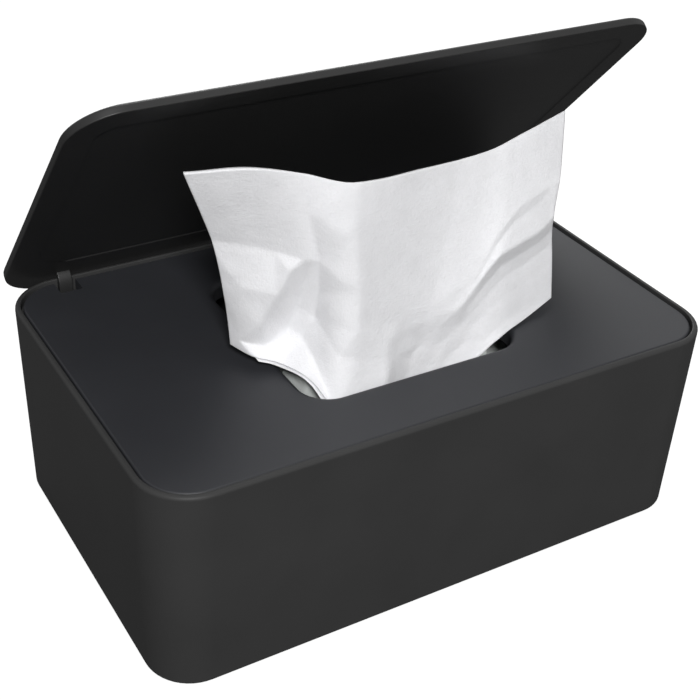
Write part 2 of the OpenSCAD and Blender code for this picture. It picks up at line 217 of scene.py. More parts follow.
class Finish:
    """A material, or the world, that is built node by node."""

    def __init__(self, owner):
        self.owner = owner
        self.owner.use_nodes = True
        self.tree = self.owner.node_tree
        self.tree.nodes.clear()

    def node(self, kind, settings, inputs):
        """Adds a node, makes its settings, and sets or links its inputs."""
        made = self.tree.nodes.new(kind)
        for name, setting in settings.items():
            setattr(made, name, setting)
        for name, value in inputs.items():
            value = getattr(value, "socket", value)
            if isinstance(value, bpy.types.NodeSocket):
                self.tree.links.new(value, made.inputs[name])
            else:
                made.inputs[name].default_value = value
        return made

    def place(self, stretch=(1, 1, 1)):
        """The place on the object, stretched along each axis."""
        coordinates = self.node("ShaderNodeTexCoord", {}, {})
        return self.node(
            "ShaderNodeMapping", {},
            {"Vector": coordinates.outputs["Object"], "Scale": stretch}).outputs[0]

    def grain(self, size, detail=2.0, stretch=(1, 1, 1)):
        """Noise whose spots are about that size, in millimetres."""
        made = self.node(
            "ShaderNodeTexNoise", {"noise_dimensions": "3D"},
            {"Vector": self.place(stretch), "Scale": 1 / (size * MM), "Detail": detail})
        return Reading(self, made.outputs["Fac"])

    def blend(self, share, first, second):
        """A colour between two others."""
        made = self.node(
            "ShaderNodeMix", {"data_type": "RGBA"},
            {"Factor": share, 6: (*first, 1), 7: (*second, 1)})
        return made.outputs[2]

    def relief(self, height, depth, strength):
        """A surface direction from a height, whose full depth is in millimetres."""
        return self.node(
            "ShaderNodeBump", {},
            {"Height": height, "Distance": depth * MM, "Strength": strength}).outputs[0]

    def rays(self):
        """1 for a ray that the camera sends, also through glass, and 1 for a glossy one."""
        ray = self.node("ShaderNodeLightPath", {}, {})
        straight, through, mirrored = (
            Reading(self, ray.outputs[f"Is {kind} Ray"])
            for kind in ("Camera", "Transmission", "Glossy"))
        return straight.maths("MAXIMUM", straight, through), mirrored

    def surface(self, inputs):
        """Ends the material in one Principled shader."""
        shader = self.node("ShaderNodeBsdfPrincipled", {}, inputs)
        self.node(
            "ShaderNodeOutputMaterial", {}, {"Surface": shader.outputs[0]})
        return self.owner


def tint(shade, share):
    """A lighter or darker shade of a colour."""
    return tuple(min(1.0, channel * share) for channel in shade)


def moulded_plastic(name, shade, roughness, texture, shine):
    """Matt moulded plastic. The depth of its spark-eroded texture is in millimetres."""
    finish = Finish(bpy.data.materials.new(name))
    fine, broad = finish.grain(0.35), finish.grain(28, 3.0)
    return finish.surface({
        "Base Color": finish.blend(broad, tint(shade, 0.86), tint(shade, 1.16)),
        "Roughness": fine * 0.10 + broad * 0.06 + (roughness - 0.08),
        "IOR": 1.46,
        "Specular IOR Level": shine,
        "Normal": finish.relief(fine + finish.grain(1.1) * 0.4, texture, 0.55),
    })


def rubber(name, shade):
    """Dull rubber with a fine speckle."""
    finish = Finish(bpy.data.materials.new(name))
    speckle = finish.grain(0.3)
    return finish.surface({
        "Base Color": finish.blend(speckle, tint(shade, 0.8), tint(shade, 1.2)),
        "Roughness": speckle * 0.1 + 0.75,
        "Normal": finish.relief(speckle, 0.03, 0.5),
    })


def drawn_steel(name, shade):
    """Steel wire, drawn along its length."""
    finish = Finish(bpy.data.materials.new(name))
    drawn = finish.grain(0.12, stretch=(0.05, 1, 1))
    return finish.surface({
        "Base Color": finish.blend(drawn, tint(shade, 0.9), tint(shade, 1.1)),
        "Metallic": 1.0,
        "Roughness": drawn * 0.14 + 0.24,
        "Normal": finish.relief(drawn, 0.01, 0.4),
    })


def nonwoven(name, shade, see_through):
    """Soft nonwoven cloth: matted fibres, thin and thick patches, and small puckers."""
    finish = Finish(bpy.data.materials.new(name))
    fibres = finish.grain(0.5, 3.0, (0.35, 1, 1)) + finish.grain(0.5, 3.0, (1, 1, 0.35))
    patches, puckers = finish.grain(6, 3.0), finish.grain(2.4, stretch=(1, 1, 1.6))
    mottle = fibres * 0.25 + patches * 0.5
    return finish.surface({
        "Base Color": finish.blend(mottle, tint(shade, 0.90), tint(shade, 1.10)),
        "Roughness": fibres * 0.05 + 0.85,
        "Specular IOR Level": 0.25,
        "Sheen Weight": 0.15,
        "Sheen Roughness": 0.6,
        "Subsurface Weight": see_through,
        "Subsurface Radius": (1.0, 1.0, 1.0),
        "Subsurface Scale": 0.3 * MM,
        "Normal": finish.relief(fibres * 0.5 + puckers * 0.5, 0.22, 0.8),
    })


# ---- Moulded pieces ----

def outline(bm, front, points):
    """Adds a chain of edges through points (out, up, rounding), given in metres.

    Out is measured forward from the middle of the plan's front edge. Rounding is the length
    that the corner loses at a point, and 0 keeps it sharp.
    """
    corners = [bm.verts.new((0, front - out, up)) for out, up, _ in points]
    for here, after in zip(corners, corners[1:]):
        bm.edges.new((here, after))
    for corner, (_, _, rounding) in zip(corners, points):
        if rounding:
            bmesh.ops.bevel(
                bm, geom=[corner], offset=rounding, offset_type="OFFSET", segments=6,
                profile=0.5, affect="VERTICES", material=-1)


def ends_of(path):
    """The corners of a chain of edges, each once and always in the same order."""
    return list(dict.fromkeys(corner for edge in path for corner in edge.verts))


def new_path(geometry):
    """The edges of a step of extrude or spin that run along the chain."""
    corners = {part for part in geometry if isinstance(part, bmesh.types.BMVert)}
    return [part for part in geometry
            if isinstance(part, bmesh.types.BMEdge) and corners.issuperset(part.verts)]


def run_on(bm, path, step):
    """Carries the chain straight on."""
    path = new_path(bmesh.ops.extrude_edge_only(bm, edges=path)["geom"])
    bmesh.ops.translate(bm, verts=ends_of(path), vec=step)
    return path


def walk_round(bm, width, depth, front_corner, rear_corner):
    """Carries the loose chain of edges once round a rounded rectangle."""
    path = [edge for edge in bm.edges if edge.is_wire]
    right, left = width / 2, -width / 2
    front, rear = -depth / 2, depth / 2
    turns = (
        Vector((right - front_corner, front + front_corner, 0)),
        Vector((right - rear_corner, rear - rear_corner, 0)),
        Vector((left + rear_corner, rear - rear_corner, 0)),
        Vector((left + front_corner, front + front_corner, 0)),
    )
    start = Vector((0, front, 0))
    heading, last = Vector((1, 0, 0)), start
    for turn in turns:
        path = run_on(bm, path, heading * (turn - last).dot(heading))
        step = bmesh.ops.spin(
            bm, geom=path + ends_of(path), cent=turn, axis=(0, 0, 1),
            angle=math.pi / 2, steps=12, use_merge=False, use_duplicate=False)
        path = new_path(step["geom_last"])
        heading, last = Vector((-heading.y, heading.x, 0)), turn
    run_on(bm, path, heading * (start - last).dot(heading))
    bmesh.ops.remove_doubles(bm, verts=bm.verts, dist=1e-6)


def cover(bm, height):
    """Fills the open loops at that height with flat faces. A loop within one stays open."""
    loops = [edge for edge in bm.edges if edge.is_boundary
             and all(abs(corner.co.z - height) < 1e-6 for corner in edge.verts)]
    bmesh.ops.triangle_fill(bm, edges=loops, use_beauty=True, use_dissolve=False)


def side_slab(bm, points, middle, width):
    """A slab across the box whose side view is the outline points (y, z)."""
    corners = [bm.verts.new((middle - width / 2, y, z)) for y, z in points]
    side = bm.faces.new(corners)
    pulled = bmesh.ops.extrude_face_region(bm, geom=[side], use_keep_orig=True)["geom"]
    moved = [part for part in pulled if isinstance(part, bmesh.types.BMVert)]
    bmesh.ops.translate(bm, verts=moved, vec=(width, 0, 0))


def round_off(bm, radius, segments):
    """Rounds every sharp edge."""
    sharp = [edge for edge in bm.edges
             if edge.is_manifold and edge.calc_face_angle() > math.radians(30)]
    bmesh.ops.bevel(
        bm, geom=sharp, offset=radius, offset_type="OFFSET", segments=segments,
        profile=0.5, affect="EDGES", material=-1, clamp_overlap=True)


def add_rod(bm, centre, radius, width):
    """A round rod across the box."""
    across = Matrix.Translation(centre) @ Matrix.Rotation(math.pi / 2, 4, "Y")
    bmesh.ops.create_cone(
        bm, cap_ends=True, cap_tris=False, segments=40, radius1=radius, radius2=radius,
        depth=width, matrix=across)


def add_block(bm, low, high):
    """A block between two corners."""
    low, high = Vector(low), Vector(high)
    size = high - low
    bmesh.ops.create_cube(
        bm, size=1, matrix=Matrix.Translation((low + high) / 2)
        @ Matrix.Diagonal((*size, 1)))


def carve(piece, operation, shape):
    """Cuts a shape out of a piece or joins it on, and uses the shape up."""
    bmesh.ops.recalc_face_normals(shape, faces=shape.faces)
    tool = bpy.data.objects.new("tool", bpy.data.meshes.new("tool"))
    shape.to_mesh(tool.data)
    shape.free()
    bpy.context.collection.objects.link(tool)
    step = piece.modifiers.new("Carve", "BOOLEAN")
    step.operation, step.object, step.solver = operation, tool, "EXACT"
    with bpy.context.temp_override(object=piece, active_object=piece):
        bpy.ops.object.modifier_apply(modifier=step.name)
    bpy.data.objects.remove(tool)


def new_piece(name, bm):
    """Makes an object from a bmesh."""
    piece = bpy.data.objects.new(name, bpy.data.meshes.new(name))
    bm.to_mesh(piece.data)
    bm.free()
    bpy.context.collection.objects.link(piece)
    return piece


def dress(piece, material, body, node):
    """Gives a piece its material and its body, and hides the node that it stands for."""
    piece.data.materials.clear()
    piece.data.materials.append(material)
    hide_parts(node)
    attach(piece, body)


def shade_moulded(piece):
    """Smooth over its rounded edges, crisp at its sharp ones, and even over flat faces."""
    piece.data.polygons.foreach_set("use_smooth", [True] * len(piece.data.polygons))
    piece.data.set_sharp_from_angle(angle=math.radians(32))
    even = piece.modifiers.new("Even shading", "WEIGHTED_NORMAL")
    even.keep_sharp = True


def settings(context):
    """The dispenser's sizes and colours, as they are set in the sidebar."""
    return context.scene.dispenser


class DISPENSER_OT_box(Operator):
    """Builds the moulded box with its rounded rim, ledge and standing ring"""
    bl_idname = "dispenser.box"
    bl_label = "Box"

    ledge_thickness = 1.6 * MM
    # The relief in the ledge for the hinge: its front, and the room beside the cheeks
    relief_front = 51.3 * MM
    relief_room = 1 * MM

    def execute(self, context):
        sizes, hinge_sizes = settings(context).box, settings(context).cover

        def lean(up):
            return sizes.lean * (1 - up / sizes.height)

        ledge_top = sizes.height - sizes.ledge_drop
        ledge_under = ledge_top - self.ledge_thickness
        # Under the ledge the wall swells out to carry it, at close to 45 degrees
        wall_foot = ledge_under - (sizes.ledge - sizes.wall - lean(ledge_under)) * 1.02
        ring_inside = -sizes.lean - sizes.ring
        bm = bmesh.new()
        outline(bm, -sizes.depth / 2, [
            (ring_inside, sizes.recess, 0),
            (ring_inside, 0, 0.3 * MM),
            (-sizes.lean, 0, sizes.base_round),
            (0, sizes.height, sizes.rim_round),
            (-sizes.wall, sizes.height, 0.3 * MM),
            (-sizes.wall - lean(ledge_top), ledge_top, 0),
            (-sizes.ledge, ledge_top, 0.2 * MM),
            (-sizes.ledge, ledge_under, 0.2 * MM),
            (-sizes.wall - lean(wall_foot), wall_foot, 0.4 * MM),
            (-sizes.wall - lean(sizes.floor), sizes.floor, 1.2 * MM),
            (-sizes.wall - lean(sizes.floor) - 3 * MM, sizes.floor, 0),
        ])
        walk_round(bm, sizes.width, sizes.depth, sizes.corner, sizes.corner)
        cover(bm, sizes.recess)
        cover(bm, sizes.floor)
        bmesh.ops.recalc_face_normals(bm, faces=bm.faces)
        box = new_piece("box", bm)

        relief = bmesh.new()
        half = hinge_sizes.slot / 2 + hinge_sizes.cheek + self.relief_room
        for side in (-1, 1):
            place = side * settings(context).lid.arm_place
            add_block(
                relief, (place - half, self.relief_front, wall_foot - 1 * MM),
                (place + half, sizes.depth / 2 - sizes.wall - 0.1 * MM, ledge_top + 1 * MM))
        carve(box, "DIFFERENCE", relief)
        shade_moulded(box)
        finish = moulded_plastic(
            "box_plastic", settings(context).colours.box, roughness=0.5, texture=0.035,
            shine=0.2)
        dress(box, finish, "box", "body_shell")
        return {"FINISHED"}


class DISPENSER_OT_small_parts(Operator):
    """Gives the anti-slip pads and the hinge pins their materials"""
    bl_idname = "dispenser.small_parts"
    bl_label = "Pads and pins"

    def execute(self, context):
        shades = settings(context).colours
        pad_finish = rubber("pad_rubber", shades.pad)
        pin_finish = drawn_steel("pin_steel", shades.pin)
        for name, node in frame["nodes"].items():
            if name.startswith("foot_pad"):
                self.paint(node, pad_finish)
            elif name.startswith("hinge_pin"):
                self.paint(node, pin_finish)
        return {"FINISHED"}

    @staticmethod
    def paint(node, material):
        for place in node.material_slots:
            place.material = material


class DISPENSER_OT_cover_panel(Operator):
    """Builds the cover panel with its rolled opening, skirt, slots and hinge cheeks"""
    bl_idname = "dispenser.cover_panel"
    bl_label = "Cover panel"

    # The lower end of a cheek from the side, as (y, z) in millimetres from the hinge axis
    cheek_foot = [(-2.6, -1.5), (-1.8, -2.3), (0.8, -2.3), (1.4, -1.5)]

    def execute(self, context):
        sizes, lid = settings(context).cover, settings(context).lid
        width, depth = panel_high.x - panel_low.x, panel_high.y - panel_low.y
        corner = settings(context).box.corner - sizes.inset
        top = panel_high.z
        under = top - sizes.thickness
        skirt_inside = -sizes.skirt_in - sizes.skirt
        bm = bmesh.new()
        outline(bm, -depth / 2, [
            (-3 * MM, top, 0),
            (0, top, sizes.edge_round),
            (0, under, 0.2 * MM),
            (-sizes.skirt_in, under, 0),
            (-sizes.skirt_in, under - sizes.skirt_depth, 0.3 * MM),
            (skirt_inside, under - sizes.skirt_depth, 0.3 * MM),
            (skirt_inside, under, 0),
        ])
        walk_round(bm, width, depth, corner, corner)
        outline(bm, -sizes.opening / 2, [
            (sizes.lip + 2 * MM, top, 0),
            (0, top, sizes.lip),
            (0, under - sizes.collar, 0.4 * MM),
            (sizes.skirt, under - sizes.collar, 0.4 * MM),
            (sizes.skirt, under, 0),
        ])
        walk_round(
            bm, sizes.opening, sizes.opening, sizes.opening_corner, sizes.opening_corner)
        cover(bm, top)
        cover(bm, under)
        bmesh.ops.recalc_face_normals(bm, faces=bm.faces)
        panel = new_piece("cover_panel", bm)

        _, axis_y, axis_z = hinge["pos_m"]
        cheek_view = [(axis_y + y * MM, axis_z + z * MM) for y, z in self.cheek_foot]
        rear, front = cheek_view[-1][0], cheek_view[0][0]
        cheek_view += [(rear, under + 1 * MM), (front, under + 1 * MM)]
        slots, cheeks, bores = bmesh.new(), bmesh.new(), bmesh.new()
        for side in (-1, 1):
            place = side * lid.arm_place
            add_block(
                slots, (place - sizes.slot / 2, axis_y - sizes.slot_reach, under - 10 * MM),
                (place + sizes.slot / 2, axis_y + 10 * MM, top + 2 * MM))
            for hand in (-1, 1):
                side_slab(
                    cheeks, cheek_view, place + hand * (sizes.slot + sizes.cheek) / 2,
                    sizes.cheek)
            add_rod(
                bores, (place, axis_y, axis_z), lid.bore - 0.05 * MM,
                sizes.slot + 2 * sizes.cheek)
        round_off(slots, 0.35 * MM, 3)
        carve(panel, "DIFFERENCE", slots)
        carve(panel, "UNION", cheeks)
        carve(panel, "DIFFERENCE", bores)
        shade_moulded(panel)
        finish = moulded_plastic(
            "cover_plastic", settings(context).colours.cover, roughness=0.50,
            texture=0.03, shine=0.5)
        dress(panel, finish, "panel", "inner_panel")
        return {"FINISHED"}


class DISPENSER_OT_lid(Operator):
    """Builds the lid closed, with its shallow field and gooseneck arms, and opens it"""
    bl_idname = "dispenser.lid"
    bl_label = "Lid"

    # A gooseneck arm from the side with the lid closed, as (y, z) in millimetres from the
    # hinge axis: its front up to the lid, and its rear down from the lid
    arm_front = [(-1.5, -0.8), (-1.9, 1), (-4.6, 3.7), (-5.3, 6)]
    arm_rear = [(-3.5, 5.5), (-0.3, 2.75), (1.4, 0.9)]

    def execute(self, context):
        sizes, box = settings(context).lid, settings(context).box
        _, axis_y, axis_z = hinge["pos_m"]
        depth = box.depth + sizes.overhang
        bm = bmesh.new()
        outline(bm, -depth / 2, [
            (-6 * MM, sizes.thickness, 0),
            (0, sizes.thickness, sizes.edge_round),
            (0, 0, sizes.edge_round / 3),
            (-sizes.margin, 0, 0),
        ])
        walk_round(bm, box.width, depth, sizes.front_corner, sizes.rear_corner)
        cover(bm, sizes.thickness)
        self.add_field(bm, sizes)
        bmesh.ops.recalc_face_normals(bm, faces=bm.faces)
        bmesh.ops.translate(
            bm, verts=bm.verts,
            vec=(0, sizes.overhang / 2, axis_z + sizes.rise))
        lid = new_piece("lid_and_arms", bm)

        root = (sizes.rise + sizes.thickness / 2) / MM
        side_view = (
            self.arm_front + [(self.arm_front[-1][0], root), (self.arm_rear[0][0], root)]
            + self.arm_rear)
        points = [(axis_y + y * MM, axis_z + z * MM) for y, z in side_view]
        arms, knuckles, bores = bmesh.new(), bmesh.new(), bmesh.new()
        for side in (-1, 1):
            place = side * sizes.arm_place
            side_slab(arms, points, place, sizes.arm)
            add_rod(
                knuckles, (place, axis_y, axis_z), sizes.knuckle, sizes.knuckle_width)
            add_rod(
                bores, (place, axis_y, axis_z), sizes.bore, sizes.knuckle_width + 2 * MM)
        bmesh.ops.recalc_face_normals(arms, faces=arms.faces)
        round_off(arms, 0.3 * MM, 3)
        carve(lid, "UNION", arms)
        carve(lid, "UNION", knuckles)
        carve(lid, "DIFFERENCE", bores)
        axis = Matrix.Translation((0, axis_y, axis_z))
        lid.data.transform(
            axis @ Matrix.Rotation(-sizes.opened, 4, "X") @ axis.inverted())
        shade_moulded(lid)
        finish = moulded_plastic(
            "lid_plastic", settings(context).colours.lid, roughness=0.44, texture=0.03,
            shine=0.5)
        dress(lid, finish, "lid", "lid")
        return {"FINISHED"}

    @staticmethod
    def add_field(bm, sizes):
        """Sinks the shallow field into the underside, with a wider margin at the rear."""
        loop = [edge for edge in bm.edges if edge.is_boundary]
        rear = [corner for corner in ends_of(loop) if corner.co.y > 0]
        bmesh.ops.translate(
            bm, verts=rear, vec=(0, sizes.margin - sizes.rear_margin, 0))
        step = run_on(bm, loop, (0, 0, sizes.field))
        middle = (0, (sizes.margin - sizes.rear_margin) / 2, 0)
        draft = (0.994, 0.992, 1)
        bmesh.ops.scale(
            bm, verts=ends_of(step), vec=draft,
            space=Matrix.Translation(middle).inverted())
        cover(bm, sizes.field)


# ---- Wipes ----

def along(points, share):
    """A smooth curve through the points, at a share from 0 to 1 of the way."""
    last = len(points) - 1
    start = max(0, min(int(share * last), last - 1))
    step = share * last - start
    a, b = points[max(start - 1, 0)], points[start]
    c, d = points[start + 1], points[min(start + 2, last)]
    return (b * 2 + (c - a) * step + (a * 2 - b * 5 + c * 4 - d) * step ** 2
            + (b * 3 - a - c * 3 + d) * step ** 3) / 2


def in_metres(points):
    """Points given in millimetres, as vectors in metres."""
    return [Vector(point) * MM for point in points]


def patch(edges, across, up):
    """The place on a cloth between four edge curves."""
    low, high, left, right = edges
    return (along(low, across) * (1 - up) + along(high, across) * up
            + along(left, up) * (1 - across) + along(right, up) * across
            - low[0] * ((1 - across) * (1 - up)) - low[-1] * (across * (1 - up))
            - high[0] * ((1 - across) * up) - high[-1] * (across * up))


def fold_surface(lines):
    """A surface that runs straight from fold line to fold line. Its height is in z."""
    points = list({point[:2]: point for line in lines for point in line}.values())
    order = {point[:2]: number for number, point in enumerate(points)}
    links = [(order[here[:2]], order[after[:2]])
             for line in lines for here, after in zip(line, line[1:])]
    flat, _, faces, sources, _, _ = delaunay_2d_cdt(
        [Vector(point[:2]) for point in points], links, [], 0, 1e-5)
    raised = [(*spot, points[source[0]][2]) for spot, source in zip(flat, sources)]
    return BVHTree.FromPolygons(raised, faces)


def height_at(surface, spot):
    """The height of such a surface at a spot."""
    return surface.ray_cast(Vector((spot.x, spot.y, 100)), Vector((0, 0, -1)))[0].z


def pucker(place, size, seed):
    """A gentle unevenness of cloth, from -1 to 1."""
    return noise.noise(place / (size * MM) + Vector((seed, 0, 0)))


def cloth_shading(piece, thickness):
    """Shades a cloth smoothly and gives it its thickness."""
    piece.data.polygons.foreach_set("use_smooth", [True] * len(piece.data.polygons))
    wall = piece.modifiers.new("Thickness", "SOLIDIFY")
    wall.thickness, wall.offset = thickness, 0.0


class DISPENSER_OT_stack(Operator):
    """Builds the stack of wipes, each folded in two round the next one's layer"""
    bl_idname = "dispenser.stack"
    bl_label = "Folded stack"

    # The room that the stack leaves in its space, above it and all round it
    top_room = 1.7 * MM
    side_room = 1.2 * MM
    # How far each wipe's open edges stay back from the fold of the next one
    edge_room = 1.6 * MM

    def execute(self, context):
        sizes = settings(context).wipes
        levels = 2 * sizes.count + 2
        pitch = (stack_high.z - self.top_room - stack_low.z) / levels
        bm = bmesh.new()
        for number in range(sizes.count):
            self.add_wipe(bm, number, pitch)
        stack = new_piece("folded_stack", bm)
        cloth_shading(stack, sizes.thickness)
        finish = nonwoven("stack_cloth", settings(context).colours.wipe, see_through=0.1)
        dress(stack, finish, "box", "wipe_stack")
        return {"FINISHED"}

    def add_wipe(self, bm, number, pitch):
        """Adds a wipe that is folded in two. Every other one folds at the rear."""
        half_width = (stack_high.x - stack_low.x) / 2 - self.side_room
        half_depth = (stack_high.y - stack_low.y) / 2 - self.side_room
        bend = 1.5 * pitch
        leaf = 2 * half_depth - bend - self.edge_room
        total = 2 * leaf + math.pi * bend
        hand = 1 if number % 2 else -1
        level = Vector((0, 0, number * MM))
        shift = Vector((pucker(level, 1.7, 3) * MM, pucker(level, 1.7, 9) * 0.6 * MM, 0))
        strip = bmesh.ops.create_grid(bm, x_segments=12, y_segments=26, size=0.5)["verts"]
        for corner in strip:
            across, on = corner.co.x * 2, (corner.co.y + 0.5) * total
            if on < leaf:
                y, up = half_depth - bend - leaf + on, 0.0
            elif on > total - leaf:
                y, up = half_depth - bend - (on - total + leaf), 2 * bend
            else:
                turn = (on - leaf) / bend
                y = half_depth - bend + bend * math.sin(turn)
                up = bend - bend * math.cos(turn)
            spot = Vector((across * half_width, hand * y, stack_low.z
                           + (2 * number + 0.5) * pitch + up)) + shift
            spot.z += 0.12 * pitch * pucker(spot, 30, 1)
            spot.x += 0.25 * MM * pucker(spot, 9, number)
            corner.co = spot


class DISPENSER_OT_next_wipe(Operator):
    """Builds the next wipe: it lies folded on the stack and rises into the opening"""
    bl_idname = "dispenser.next_wipe"
    bl_label = "Next wipe"

    # Rows of points across the sheet, in millimetres. It starts flat on the stack, turns
    # over at the rear, comes forward again and rises behind the opening's front lip.
    rows = [
        [(-74, -39, 45.3), (-25, -39.2, 45.3), (25, -39, 45.3), (74, -39, 45.3)],
        [(-74, 0, 45.3), (-25, 0, 45.3), (25, 0, 45.3), (74, 0, 45.3)],
        [(-74, 37, 45.3), (-25, 37, 45.3), (25, 37, 45.3), (74, 37, 45.3)],
        [(-74, 39.6, 45.8), (-25, 39.8, 45.8), (25, 39.6, 45.8), (74, 39.8, 45.8)],
        [(-73, 36, 46.3), (-25, 36, 46.3), (25, 36, 46.3), (73, 36, 46.3)],
        [(-72, 14, 46.6), (-60, 8, 46.8), (-40, 5, 47), (-20, 4, 47), (0, 4, 47),
         (20, 4, 47), (40, 2, 46.8), (66, 0, 46.6)],
        [(-52, 0, 48.6), (-50, -9, 48.6), (-44, -17, 48.4), (-34, -21.5, 48.4),
         (-14, -23, 48.4), (5, -24, 48.4), (24, -26, 48.4), (40, -27.5, 48.6)],
        [(-36, -9, 56), (-36, -16, 56), (-34, -22.4, 55.5), (-28, -25.6, 55),
         (-14, -25.4, 55), (4, -25.4, 55), (19, -26.4, 55.5), (31, -28.6, 56)],
        [(-32.8, -11.7, 61.5), (-33, -18.2, 61.5), (-32.2, -24.6, 61), (-26.6, -28, 60.5),
         (-14, -26.2, 60), (4, -25.4, 60), (18.4, -26.7, 60.5), (28.8, -28.6, 61.5)],
        [(-32.7, -12, 64.8), (-32.9, -18.6, 65.3), (-31.7, -25.2, 65.4),
         (-26.4, -29.4, 64.8), (-14, -26.6, 63.2), (4, -25.6, 63.2), (18.5, -26.4, 64.2),
         (28.4, -28.2, 65)],
    ]

    def execute(self, context):
        sizes = settings(context).wipes
        bm = bmesh.new()
        sheet = bmesh.ops.create_grid(bm, x_segments=90, y_segments=130, size=0.5)["verts"]
        rows = [in_metres(row) for row in self.rows]
        for corner in sheet:
            across, on = corner.co.x + 0.5, corner.co.y + 0.5
            corner.co = along([along(row, across) for row in rows], on)
            corner.co.y += self.ripple(across, on)
        wipe = new_piece("next_wipe_cloth", bm)
        cloth_shading(wipe, sizes.thickness)
        # Its cloth takes the darker painted-shade colour instead of the stack's own white
        finish = nonwoven(
            "next_wipe_painted_shade", settings(context).colours.painted_shade_wipe, see_through=0.2)
        dress(wipe, finish, "box", "next_wipe")
        return {"FINISHED"}

    @staticmethod
    def ripple(across, on):
        """Uneven upright waves in the part that rises."""
        rising = max(0.0, min(1.0, (on - 0.6) / 0.15))
        waves = math.sin(across * 62 + 2.4 * math.sin(across * 9)) * rising
        return waves * 0.35 * MM


